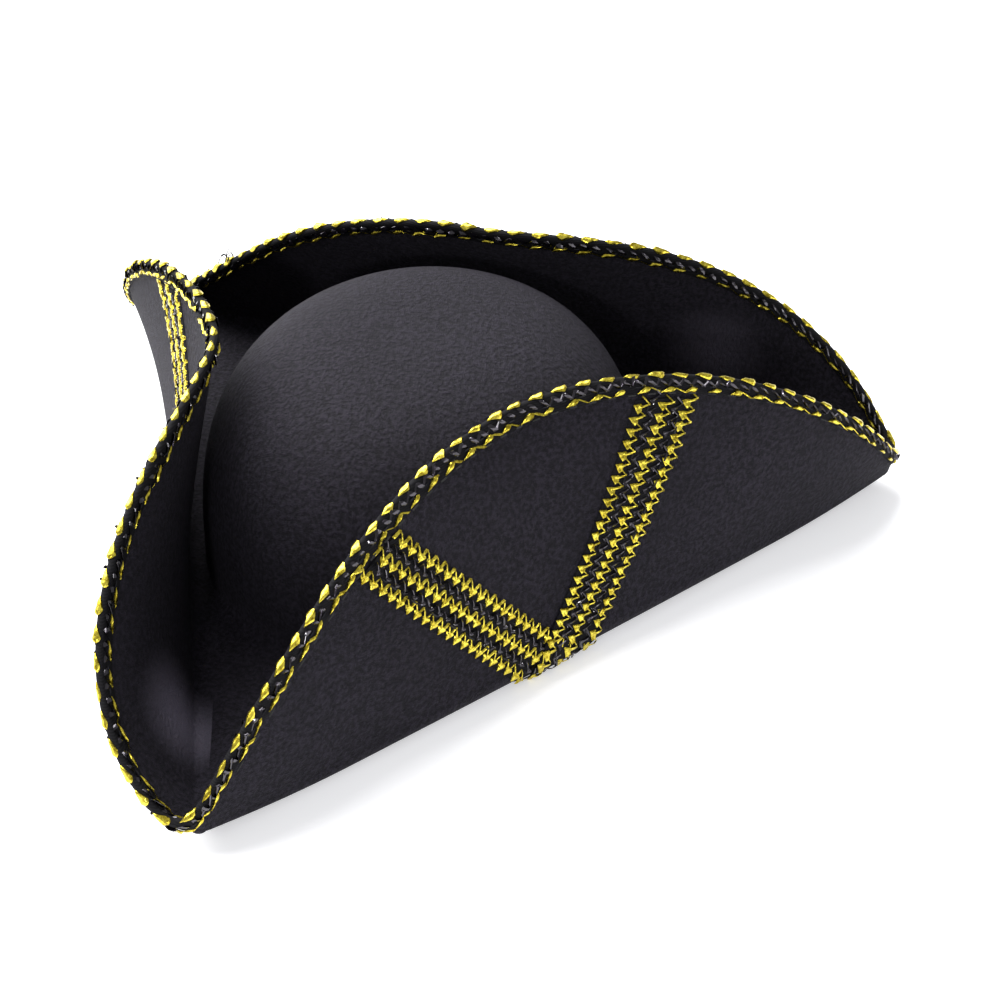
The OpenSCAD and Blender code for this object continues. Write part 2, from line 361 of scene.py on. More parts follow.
@dataclass(frozen=True)
class Woven(Finish):
    """Woven or twisted black yarn: fine ribs across, and a soft surface."""

    rib: float = 1.1
    relief: float = 0.25
    band_scale: float = 0.32  # the wave node's scale that gives ribs one unit wide
    fibre: float = 0.3
    fibre_share: float = 0.3

    def material(self) -> bpy.types.Material:
        """Build the yarn."""
        material, graph, shader, place = self.start()
        ribs = graph.get("ShaderNodeTexWave", 0,
                         {"wave_type": "BANDS", "bands_direction": "Z"},
                         {"Vector": place, "Scale": self.band_scale / (self.rib * MM),
                          "Distortion": 1.2, "Detail": 2.0})
        fibres = self.noise(graph, place, self.fibre)
        relief = ribs * (1 - self.fibre_share) + fibres * self.fibre_share
        pale = tuple(value * 2.2 + 0.004 for value in self.colour)
        graph.feed(shader, {
            "Base Color": graph.blend(relief, self.colour, pale),
            "Specular IOR Level": 0.15, "Roughness": 0.7 + fibres * 0.25})
        self.bump(graph, shader, relief, self.relief, 0.8)
        return material


@dataclass(frozen=True)
class Backdrop(Finish):
    """Smooth pale paper for the floor, lit a little from below."""

    glow: float = 0.45
    grain: float = 60.0
    shade: float = 0.985

    def material(self) -> bpy.types.Material:
        """Build the paper."""
        material, graph, shader, place = self.start()
        grain = self.noise(graph, place, self.grain, 1.0)
        pale = tuple(value * self.shade for value in self.colour)
        colour = graph.blend(grain, pale, self.colour)
        graph.feed(shader, {"Base Color": colour, "Emission Color": colour,
                            "Emission Strength": self.glow, "Roughness": 0.42,
                            "Specular IOR Level": 0.3})
        return material


FELT = Felt("black_felt", (0.0050, 0.0040, 0.0072))
GOLD = Foil("gold_foil_tape", (0.80, 0.665, 0.08))
# Its deep colour is painted shade in the low places of its creases.
BLACK = Foil("black_foil_tape", (0.034, 0.028, 0.038), deep=(0.006, 0.004, 0.008),
             gloss=0.1, crease=0.2, coat=1.0)
BACKING = Woven("lace_backing", (0.0022, 0.0020, 0.0028), rib=0.8, relief=0.12)
TAPE = Woven("ribbed_tape", (0.012, 0.012, 0.014))
THREAD = Woven("sewing_thread", (0.010, 0.010, 0.012), rib=0.4, relief=0.08)
PAPER = Backdrop("pale_paper", (0.93, 0.93, 0.945))


class Slot(Enum):
    """The record's material slots."""

    FELT = "felt"
    GOLD = "gold_foil"
    BLACK = "black_foil"
    TAPE = "sweatband_tape"
    THREAD = "black_thread"


FINISHES = {Slot.FELT: FELT, Slot.GOLD: GOLD, Slot.BLACK: BLACK, Slot.TAPE: TAPE,
            Slot.THREAD: THREAD}


@dataclass
class Wardrobe:
    """Every material, made once."""

    made: dict[str, bpy.types.Material] = field(default_factory=dict)

    def get(self, finish: Finish) -> bpy.types.Material:
        """Return a finish's material, and build it on first use."""
        if finish.name not in self.made:
            self.made[finish.name] = finish.material()
            LOG.info("finish %s", finish.name)
        return self.made[finish.name]


# --------------------------------------------------------------- hat's shape


@dataclass(frozen=True)
class FlapShape:
    """One brim flap. Its start and end are its tips, anticlockwise from above."""

    name: str
    facing: float
    lean: float
    start_flare: float
    end_flare: float
    bow: float
    belly: float
    v_foot: float
    start_taper: float = 0.0
    end_taper: float = 0.0

    @property
    def body(self) -> str:
        """Name of a body for the flap."""
        return f"{self.name}_flap"


@dataclass(frozen=True)
class HatShape:
    """The hat's driving sizes and the surfaces that follow from them.

    s runs from -1 to 1 along a flap, between its tips. d is the distance along the
    felt from where the fold starts. off is how far outside the felt's middle a
    point lies.
    """

    felt_t: float = 2.0
    crown_w: float = 178.0
    crown_l: float = 192.0
    crown_h: float = 98.0
    crown_power: float = 2.9
    brim_r: float = 206.0
    brim_trim: float = 3.5
    brim_x: float = -5.6
    fold_r: float = 7.0
    fold_tightening: float = 0.97
    tip_lift: float = 6.0
    tip_flat: float = 0.6
    flaps: tuple[FlapShape, ...] = (
        FlapShape("left", -30.0, 25.0, 28.0, 40.0, 4.0, 6.0, -13.0),
        FlapShape("back", 90.0, 21.0, 52.0, -10.0, 7.0, 3.0, 0.0, end_taper=0.85),
        FlapShape("right", 210.0, 12.0, 40.0, 71.0, -8.0, 0.0, 13.0, start_taper=0.7),
    )

    @property
    def chord(self) -> float:
        """Distance of each fold's chord from the brim's middle."""
        return self.brim_r / 2

    @property
    def half_chord(self) -> float:
        """Half the length of each fold's chord."""
        return self.brim_r * math.sqrt(3) / 2

    @property
    def felt_half(self) -> float:
        """Half the felt's thickness."""
        return self.felt_t / 2

    def fold_radius(self, s: Array) -> Array:
        """Radius of the fold, which tightens towards the tips."""
        return self.fold_r * np.sqrt(1 - self.fold_tightening * s * s)

    def flat_width(self, flap: FlapShape, s: Array) -> Array:
        """Width of the flap beyond its chord, when it is laid flat."""
        taper = np.where(s < 0, flap.start_taper, flap.end_taper)
        reach = np.maximum(self.brim_r**2 - (s * self.half_chord) ** 2, self.chord**2)
        trim = self.brim_trim * (1 - s * s)
        return np.maximum(np.sqrt(reach) - self.chord - trim, 0) * (1 - taper * s**4)

    def lean(self, flap: FlapShape, s: Array) -> Array:
        """Lean towards the crown, in degrees."""
        flare = np.where(s < 0, flap.start_flare, flap.end_flare)
        return flap.lean - flare * np.abs(s) ** 1.5

    def rim_d(self, flap: FlapShape, s: Array) -> Array:
        """Distance along the felt from the fold's start to the rim."""
        return self.flat_width(flap, s) + self.fold_radius(s)

    def wall_d(self, flap: FlapShape, s: Array) -> Array:
        """Distance along the felt to where the fold ends."""
        return self.fold_radius(s) * np.radians(90 + self.lean(flap, s))

    def point(self, flap: FlapShape, s: Array, d: Array, off: Array | float) -> Array:
        """Points of a flap.

        Args:
            flap: which flap.
            s: place along it.
            d: distance along the felt.
            off: distance outside the felt's middle.

        Returns:
            The points, in millimetres, with x, y and z on a last axis.
        """
        radius = self.fold_radius(s)
        wall = self.wall_d(flap, s)
        limit = np.radians(90 + self.lean(flap, s))
        turned = np.minimum(np.maximum(d, 0) / radius, limit)
        straight = np.maximum(d - wall, 0)
        span = np.maximum(self.rim_d(flap, s) - wall, 0.01)
        share = np.clip(straight / span, 0, 1)
        belly = flap.belly * (1 - s * s) * np.sin(np.pi * share)
        lift = np.maximum(np.abs(s) - self.tip_flat, 0) / (1 - self.tip_flat)
        out = (self.chord - radius + np.minimum(d, 0) + (radius + off) * np.sin(turned)
               + straight * np.cos(turned) + belly + flap.bow * (1 - s * s))
        height = (self.felt_half + self.tip_lift * lift**2 + radius
                  - (radius + off) * np.cos(turned) + straight * np.sin(turned))
        angle = math.radians(flap.facing)
        along = s * self.half_chord
        return np.stack([
            self.brim_x + math.cos(angle) * out - math.sin(angle) * along,
            math.sin(angle) * out + math.cos(angle) * along,
            height + 0 * along], axis=-1)

    def crown_point(self, inset: float, q: Array, turn: Array) -> Array:
        """Points of the dome.

        Args:
            inset: distance inside its outer surface.
            q: climb in radians, from 0 at the brim to a quarter turn at the top.
            turn: angle round the oval, in radians.

        Returns:
            The points, in millimetres.
        """
        k = 2 / self.crown_power
        near = np.maximum(np.cos(q), 0) ** k
        rise = (self.crown_h - self.felt_t - inset) * np.sin(q) ** k
        return np.stack([
            (self.crown_w / 2 - inset) * np.cos(turn) * near,
            (self.crown_l / 2 - inset) * np.sin(turn) * near,
            self.felt_t + rise + 0 * turn], axis=-1)

    def wall_point(self, inset: Array, z: Array, turn: Array) -> Array:
        """Points of the dome's wall at given heights.

        Args:
            inset: distance inside its outer surface.
            z: heights above the surface.
            turn: angles round the oval, in radians.

        Returns:
            The points, in millimetres.
        """
        share = np.maximum(z - self.felt_t, 0) / (self.crown_h - self.felt_t - inset)
        near = (1 - share**self.crown_power) ** (1 / self.crown_power)
        return np.stack([
            (self.crown_w / 2 - inset) * np.cos(turn) * near,
            (self.crown_l / 2 - inset) * np.sin(turn) * near,
            z + 0 * turn], axis=-1)


# ------------------------------------------------------------------- meshing


def unit(vectors: Array) -> Array:
    """Scale vectors on the last axis to length 1."""
    return vectors / np.maximum(np.linalg.norm(vectors, axis=-1, keepdims=True), 1e-12)


def curve(u: Array, first: Array, leave: Array, arrive: Array, last: Array) -> Array:
    """Points at shares u of a cubic curve from first to last."""
    return ((1 - u) ** 3 * first + 3 * u * (1 - u) ** 2 * leave
            + 3 * u * u * (1 - u) * arrive + u**3 * last)


def grid_normals(points: Array, ring: bool) -> Array:
    """Normals of a grid of points, on the side of the felt that faces out or down.

    Args:
        points: columns by rows by 3.
        ring: whether the last column meets the first.

    Returns:
        Normals of length 1, in the same layout.
    """
    if ring:
        along = np.roll(points, -1, axis=0) - np.roll(points, 1, axis=0)
    else:
        along = np.gradient(points, axis=0)
    return unit(np.cross(along, np.gradient(points, axis=1)))


def shell(outer: Array, inner: Array, ring: bool = False,
          pole: tuple[Array, Array] | None = None) -> tuple[Array, list]:
    """A closed solid between two grids of points.

    Args:
        outer: columns by rows by 3, on the side that the normals point to.
        inner: the other side, in the same layout.
        ring: whether the last column meets the first.
        pole: the outer and inner points that close the first row, if it is closed.

    Returns:
        Vertices and faces.
    """
    columns, rows = outer.shape[:2]
    size = columns * rows
    steps = columns if ring else columns - 1
    faces = []
    for i in range(steps):
        a, b = i * rows, (i + 1) % columns * rows
        for j in range(rows - 1):
            faces.append((a + j, b + j, b + j + 1, a + j + 1))
            faces.append((size + a + j, size + a + j + 1, size + b + j + 1, size + b + j))
        last = rows - 1
        faces.append((a + last, b + last, size + b + last, size + a + last))
        if pole is None:
            faces.append((a, size + a, size + b, b))
        else:
            faces.append((2 * size, b, a))
            faces.append((2 * size + 1, size + a, size + b))
    if not ring:
        for j in range(rows - 1):
            faces.append((j, j + 1, size + j + 1, size + j))
            end = (columns - 1) * rows
            faces.append((end + j, size + end + j, size + end + j + 1, end + j + 1))
    points = [outer.reshape(-1, 3), inner.reshape(-1, 3)]
    if pole is not None:
        points.append(np.stack(pole))
    return np.concatenate(points), faces


def tube_faces(rings: int, sides: int) -> list:
    """Faces of a tube made of rings of points, closed at both ends."""
    faces = [(i * sides + j, i * sides + (j + 1) % sides,
              (i + 1) * sides + (j + 1) % sides, (i + 1) * sides + j)
             for i in range(rings - 1) for j in range(sides)]
    end = (rings - 1) * sides
    return faces + [tuple(range(sides - 1, -1, -1)), tuple(range(end, end + sides))]


def join(parts: list[tuple[Array, list]]) -> tuple[Array, list]:
    """Put the vertices and the faces of several parts together."""
    points, faces, count = [], [], 0
    for part_points, part_faces in parts:
        faces += [tuple(count + k for k in face) for face in part_faces]
        points.append(part_points)
        count += len(part_points)
    return np.concatenate(points), faces


def add_object(name: str, data: bpy.types.ID) -> bpy.types.Object:
    """Add an object that holds the data to the scene."""
    made = bpy.data.objects.new(name, data)
    bpy.context.scene.collection.objects.link(made)
    return made


def add_mesh(name: str, points: Array, faces: list) -> bpy.types.Object:
    """Add an object made from points in millimetres."""
    mesh = bpy.data.meshes.new(name)
    mesh.from_pydata((points * MM).tolist(), [], faces)
    return add_object(name, mesh)


def finish_mesh(mesh: bpy.types.Mesh, crease: float) -> None:
    """Shade a mesh smooth, but keep edges sharper than crease degrees."""
    mesh.polygons.foreach_set("use_smooth", [True] * len(mesh.polygons))
    mesh.set_sharp_from_angle(angle=math.radians(crease))
    mesh.update()


def add_piece(name: str, points: Array, faces: list, material: bpy.types.Material,
              crease: float = 50.0) -> bpy.types.Object:
    """Make a piece from points in millimetres.

    Args:
        name: the piece's name.
        points: its vertices.
        faces: its faces.
        material: what it is made of.
        crease: angle above which an edge stays sharp, in degrees.

    Returns:
        The piece.
    """
    piece = add_mesh(name, points, faces)
    piece.data.materials.append(material)
    finish_mesh(piece.data, crease)
    LOG.info("piece %s: %d faces", name, len(piece.data.polygons))
    return piece


@dataclass(frozen=True)
class Attach:
    """Puts a finished piece in place of CAD nodes. Hat pieces ride on the hat's body."""

    hinge_low: float = 12.0
    hinge_high: float = 60.0

    def to_hat(self, piece: bpy.types.Object, slot: Slot, *nodes: str) -> None:
        """Ride a piece on the hat's body, in place of CAD nodes."""
        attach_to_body(piece, HAT_BODY)
        self._say(piece, slot, nodes)

    def to_flap(self, piece: bpy.types.Object, flap: FlapShape, slot: Slot,
                *nodes: str) -> None:
        """Bake a piece's placement into its mesh, in place of CAD nodes."""
        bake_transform(piece)
        self._say(piece, slot, nodes)

    @staticmethod
    def _say(piece: bpy.types.Object, slot: Slot, nodes: tuple[str, ...]) -> None:
        """Hide the CAD nodes that the piece stands for."""
        if nodes:
            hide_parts(*nodes)


@dataclass
class Workshop:
    """What every maker uses: the materials, the attacher and the row maker."""

    rows: "RowMaker"
    wardrobe: Wardrobe = field(default_factory=Wardrobe)
    attach: Attach = field(default_factory=Attach)

    def lay(self, name: str, model: bpy.types.Object, rows: "Rows", slot: Slot,
            place: Place, flap: FlapShape, *nodes: str) -> None:
        """Lay rows of copies on a flap, in place of CAD nodes.

        Args:
            name: the new piece's name.
            model: what to copy.
            rows: the flat layout.
            slot: what the copies are made of.
            place: takes flat places to points of the hat.
            flap: the flap that they lie on.
            nodes: the CAD nodes that they stand for.
        """
        material = self.wardrobe.get(FINISHES[slot])
        piece = self.rows.lay(name, model, rows, material, place)
        self.attach.to_flap(piece, flap, slot, *nodes)

    def band(self, name: str, along: Array, across: Array, cut: "Ground",
             place: Place, flap: FlapShape) -> None:
        """Lay the black band that plaits lie on, along a flap.

        Args:
            name: the new piece's name.
            along: places along the lace.
            across: places across it, in a layout that fits the first.
            cut: the band's section.
            place: takes flat places to points of the hat.
            flap: the flap that it lies on.
        """
        along, across = np.broadcast_arrays(along, across)
        high = cut.height(across)
        under, over = (place(along.ravel(), across.ravel(), up.ravel())
                       .reshape(*along.shape, 3) for up in (0 * high, high))
        points, faces = shell(under, over)
        piece = add_piece(name, points, faces, self.wardrobe.get(BACKING), 40.0)
        self.attach.to_flap(piece, flap, Slot.BLACK)


# ---------------------------------------------------------------------- felt


@dataclass
class FeltBody:
    """The felt: a pressed crown and brim base, and three flaps that fold up."""

    hat: HatShape
    tip_end: float = 0.94
    flap_columns: int = 110
    tip_columns: int = 12
    tip_round: float = 0.62
    fold_steps: int = 12
    wall_steps: int = 18
    rim_steps: int = 9
    rim_depth: float = 13.5
    seam_d: float = -3.0
    crown_rows: int = 30
    fillet_rows: int = 7
    brim_rows: int = 10
    fillet_h: float = 7.0
    fillet_out: float = 6.0
    ring: Array = field(init=False)
    normals: Array = field(init=False)

    def __post_init__(self) -> None:
        """Lay out the brim as one grid of points round the hat."""
        blocks = [self._flap_block(flap) for flap in self.hat.flaps]
        parts = []
        for i, block in enumerate(blocks):
            parts.append(block)
            parts.append(self._tip_block(block, blocks[(i + 1) % len(blocks)]))
        self.ring = np.concatenate(parts)
        self.normals = grid_normals(self.ring, ring=True)

    def _flap_block(self, flap: FlapShape) -> Array:
        """Points of one flap's middle surface, evenly spaced along its rim."""
        end = math.asin(self.tip_end * math.sqrt(3) / 2)
        s = np.sin(np.linspace(-end, end, self.flap_columns)) / (math.sqrt(3) / 2)
        rim = self.hat.rim_d(flap, s)
        low = rim - np.minimum(self.rim_depth, 0.8 * rim)
        turn_end = np.minimum(self.hat.wall_d(flap, s), 0.8 * low)
        fold = [turn_end * j / self.fold_steps for j in range(self.fold_steps)]
        wall = [turn_end + (low - turn_end) * j / self.wall_steps
                for j in range(self.wall_steps)]
        edge = [low + (rim - low) * j / self.rim_steps for j in range(self.rim_steps + 1)]
        d = np.stack([np.full_like(s, self.seam_d), *fold, *wall, *edge], axis=1)
        return self.hat.point(flap, s[:, None] + 0 * d, d, 0.0)

    def _tip_block(self, before: Array, after: Array) -> Array:
        """Round the corner between one flap's end and the next one's start."""
        first, last = before[-1], after[0]
        reach = self.tip_round * np.linalg.norm(last - first, axis=-1, keepdims=True)
        leave = first + unit(before[-1] - before[-2]) * reach
        arrive = last + unit(after[0] - after[1]) * reach
        u = np.arange(1, self.tip_columns + 1)[:, None, None] / (self.tip_columns + 1)
        return curve(u, first, leave, arrive, last)

    def columns_of(self, index: int) -> Array:
        """Numbers of the grid columns of one flap, out to the middle of its tips."""
        span = self.flap_columns + self.tip_columns
        half = self.tip_columns // 2
        start = index * span - half
        return np.arange(start, start + span + 1) % len(self.ring)

    def _root_points(self) -> Array:
        """Points of the crown and the flat brim, from near the top to the seam."""
        hat = self.hat
        seam = self.ring[:, 0]
        turn = np.arctan2(seam[:, 1] * hat.crown_w, seam[:, 0] * hat.crown_l)
        inset = hat.felt_half
        k = 2 / hat.crown_power
        climb = np.linspace(math.pi / 2, 0, 4000)
        profile = np.stack([np.maximum(np.cos(climb), 0) ** k * hat.crown_w / 2,
                            np.sin(climb) ** k * (hat.crown_h - hat.felt_t - inset)], 1)
        kept = profile[:, 1] >= self.fillet_h
        steps = np.linalg.norm(np.diff(profile[kept], axis=0), axis=1)
        length = np.concatenate([[0], np.cumsum(steps)])
        wanted = np.linspace(length[-1] / self.crown_rows, length[-1], self.crown_rows)
        q = np.interp(wanted, length, climb[kept])
        crown = hat.crown_point(inset, q[None, :] + 0 * turn[:, None], turn[:, None])
        mouth = hat.crown_point(inset, np.zeros_like(turn), turn)
        mouth[:, 2] = hat.felt_half
        out = (seam - mouth) * np.array([1, 1, 0])
        room = np.linalg.norm(out, axis=-1, keepdims=True)
        reach = np.minimum(self.fillet_out, 0.6 * room)
        landing = mouth + unit(out) * reach
        down = crown[:, -1] - np.array([0, 0, 0.62 * self.fillet_h])
        inward = landing - unit(out) * reach * 0.75
        u = (np.arange(1, self.fillet_rows + 1) / self.fillet_rows)[None, :, None]
        fillet = curve(u, crown[:, -1][:, None, :], down[:, None, :],
                       inward[:, None, :], landing[:, None, :])
        t = (np.arange(1, self.brim_rows + 1) / self.brim_rows)[None, :, None]
        brim = landing[:, None, :] + (seam - landing)[:, None, :] * t
        rise = (seam[:, 2] - hat.felt_half)[:, None]
        brim[:, :, 2] = hat.felt_half + rise * (t * t * (3 - 2 * t))[:, :, 0]
        return np.concatenate([crown, fillet, brim], axis=1)

    def build(self, shop: Workshop) -> None:
        """Make the root and the three flaps."""
        half = self.hat.felt_half
        felt = shop.wardrobe.get(FELT)
        root = self._root_points()
        turned = grid_normals(root, ring=True)
        top = np.array([0, 0, self.hat.crown_h - half])
        lift = np.array([0, 0, half])
        points, faces = shell(root + turned * half, root - turned * half, ring=True,
                              pole=(top - lift, top + lift))
        piece = add_piece("felt_crown_and_brim", points, faces, felt)
        shop.attach.to_hat(piece, Slot.FELT, "crown", "brim_base")
        for i, flap in enumerate(self.hat.flaps):
            columns = self.columns_of(i)
            middle, turned = self.ring[columns], self.normals[columns]
            points, faces = shell(middle + turned * half, middle - turned * half)
            piece = add_piece(f"felt_flap_{flap.name}", points, faces, felt)
            shop.attach.to_flap(piece, flap, Slot.FELT, f"flap_{flap.name}")


# --------------------------------------------------------------- lace makers


@dataclass(frozen=True)
class Plait:
    """One repeat of a lace row: a foil tape that zigzags and folds at each turn.

    turn is the share of the pitch where the tape turns back, and under and over are
    its lowest and highest heights. back_tape and back_tilt are for the run that goes
    back underneath. If drop is above 0, it is the width of a puffed run, which is
    widest at peak. share is how much of the row's width the puffed run takes.
    """

    pitch: float
    across: float
    tape: float
    turn: float
    under: float
    over: float
    tilt: float
    back_tape: float = 0.7
    back_tilt: float = 0.7
    hand: float = 1.0
    drop: float = 0.0
    share: float = 1.0
    peak: float = 0.66
    thick: float = 0.14
    crown: float = 0.2
    crumple: float = 0.25
    thinnest: float = 0.06

    def _drop(self, start: tuple[float, float], end: tuple[float, float]
              ) -> tuple[Array, list]:
        """The wide run where it is pinched by the sewing into a puffed teardrop.

        Args:
            start: its pointed end, along and across the lace.
            end: its round end.

        Returns:
            Vertices and faces.
        """
        run = np.array(end) - np.array(start)
        aside = np.array([-run[1], run[0]]) / np.hypot(*run)
        u = np.linspace(0, 1, 10)[:, None]
        w = np.linspace(-1, 1, 7)[None, :]
        tail, head = (u / self.peak) ** 0.85, ((1 - u) / (1 - self.peak)) ** 0.5
        fat = np.clip(np.minimum(tail, head), self.thinnest, 1)
        side = fat * w * self.drop / 2
        x = start[0] + run[0] * u + aside[0] * side
        y = start[1] + run[1] * u + aside[1] * side
        puff = fat**0.6 * np.sqrt(np.maximum(1 - w * w, 0))
        z = self.under + (self.over - self.under) * puff + self.tilt * w * fat
        z = z + self.crumple * puff * np.sin(7 * u + 2 * w)
        top = np.stack([x, y, z], axis=-1)
        bottom = top - np.array([0, 0, self.thick])
        return shell(top, bottom)

    def _limb(self, start: tuple[float, float], end: tuple[float, float], low: float,
              high: float, tilt: float, tape: float) -> tuple[Array, list]:
        """One straight run of the tape, arched along and across.

        Args:
            start: where it starts, along and across the lace.
            end: where it ends.
            low: its height at the ends.
            high: its height in the middle.
            tilt: how much one edge stands higher than the other.
            tape: width of the tape.

        Returns:
            Vertices and faces.
        """
        run = math.hypot(end[0] - start[0], end[1] - start[1])
        spread = tape * run / abs(end[1] - start[1])
        u = np.linspace(0, 1, 5)[:, None]
        w = np.linspace(-0.5, 0.5, 3)[None, :]
        x = start[0] + (end[0] - start[0]) * u + w * spread
        y = start[1] + (end[1] - start[1]) * u + 0 * w
        z = (low + (high - low) * (1 - (2 * u - 1) ** 4) + tilt * w
             + self.crown * (1 - 4 * w * w))
        top = np.stack([x, y, z], axis=-1)
        bottom = top - np.array([0, 0, self.thick])
        return shell(bottom, top) if end[1] < start[1] else shell(top, bottom)

    def _ear(self, x: float, y: float, inward: float) -> tuple[Array, list]:
        """The small triangle that shows where the tape folds over.

        Args:
            x: place of the turn along the lace.
            y: its place across the lace.
            inward: 1 or -1, the way to the lace's middle.

        Returns:
            Vertices and faces.
        """
        half, deep, low = self.tape * 0.5, self.tape * 0.8, self.under
        top = np.array([[x - half, y, low + 0.1], [x + half, y, low + 0.3],
                        [x - half * 0.2, y + inward * deep, self.over + 0.15]])
        bottom = top - np.array([0, 0, self.thick])
        points = np.concatenate([top, bottom])
        faces = [(0, 1, 2), (5, 4, 3), (0, 3, 4, 1), (1, 4, 5, 2), (2, 5, 3, 0)]
        if inward < 0:
            faces = [tuple(reversed(face)) for face in faces]
        return points, faces

    def _looped(self, half: float, middle: float) -> list[tuple[Array, list]]:
        """A short puffed run, and a thin loop that fills the rest of the row.

        Args:
            half: half the row's width, below 0 when the row is turned over.
            middle: where the tape turns back, along the lace.

        Returns:
            Vertices and faces of each run.
        """
        root = half * (1 - self.share)
        peak = (middle + self.pitch * 0.62, -half)
        thin = self.tape * self.back_tape
        return [
            self._limb((middle, root), peak, self.under, self.over, 0.3, thin),
            self._limb(peak, (self.pitch + middle * 0.6, root), self.under,
                       self.under + 0.2, -self.back_tilt, thin),
            self._drop((middle, half), (middle * 0.3, half * (1 - 2 * self.share))),
        ]

    def _zigzag(self, half: float, middle: float) -> list[tuple[Array, list]]:
        """A wide run and the run back underneath, as in _looped()."""
        first, turned, last = (0.0, -half), (middle, half), (self.pitch, -half)
        back = []
        if self.back_tape:
            back = [self._limb(turned, last, self.under, self.under * 1.3, -self.back_tilt,
                               self.tape * self.back_tape)]
        if self.drop:
            return [self._drop(first, turned), *back]
        return [
            *back,
            self._limb(first, turned, self.under, self.over, self.tilt, self.tape),
            self._ear(0.0, -half, self.hand),
            self._ear(middle, half, -self.hand),
        ]

    def model(self, name: str) -> bpy.types.Object:
        """Make the repeat as an object to be copied."""
        make = self._looped if self.share < 1 else self._zigzag
        parts = make(self.across / 2 * self.hand, self.pitch * self.turn)
        return add_mesh(name, *join(parts))


@dataclass(frozen=True)
class Stitch:
    """One stitch of thread: a short six-sided bead that dips at both ends."""

    length: float = 3.0
    radius: float = 0.3
    rings: int = 5
    sides: int = 6

    def model(self, name: str) -> bpy.types.Object:
        """Make the stitch as an object to be copied."""
        u = np.linspace(-1, 1, self.rings)
        round_off = np.sqrt(np.maximum(1 - u**2, 0)) * 0.75 + 0.25
        angles = np.linspace(0, 2 * math.pi, self.sides, endpoint=False)
        ring = np.stack([np.cos(angles), np.sin(angles)], axis=1)
        points = [[self.length / 2 * a, self.radius * r * y, self.radius * (r * z + 1 - a * a)]
                  for a, r in zip(u, round_off) for y, z in ring]
        return add_mesh(name, np.array(points), tube_faces(self.rings, self.sides))


@dataclass(frozen=True)
class Rows:
    """How copies are laid out flat: in rows along x, side by side across y."""

    count: int
    rows: int
    pitch: float
    spacing: float
    start: float = 0.0
    lift: float = 0.0
    tilt: float = 5.0
    size: float = 0.06
    seed: int = 1
    foot_slope: float = 0.0
    foot_cut: float = -1e5
    top_slope: float = 0.0
    top_cut: float = 1e5


@dataclass(frozen=True)
class Ground:
    """Section of a flat band: how wide and thick it is, and how its edges thin out."""

    width: float
    thick: float
    thinnest: float
    edge: float = 1.2

    def height(self, across: Array) -> Array:
        """Thickness at places across the band."""
        share = np.clip((self.width / 2 - np.abs(across)) / self.edge, 0, 1)
        return self.thick * (self.thinnest + (1 - self.thinnest) * np.sqrt(share))


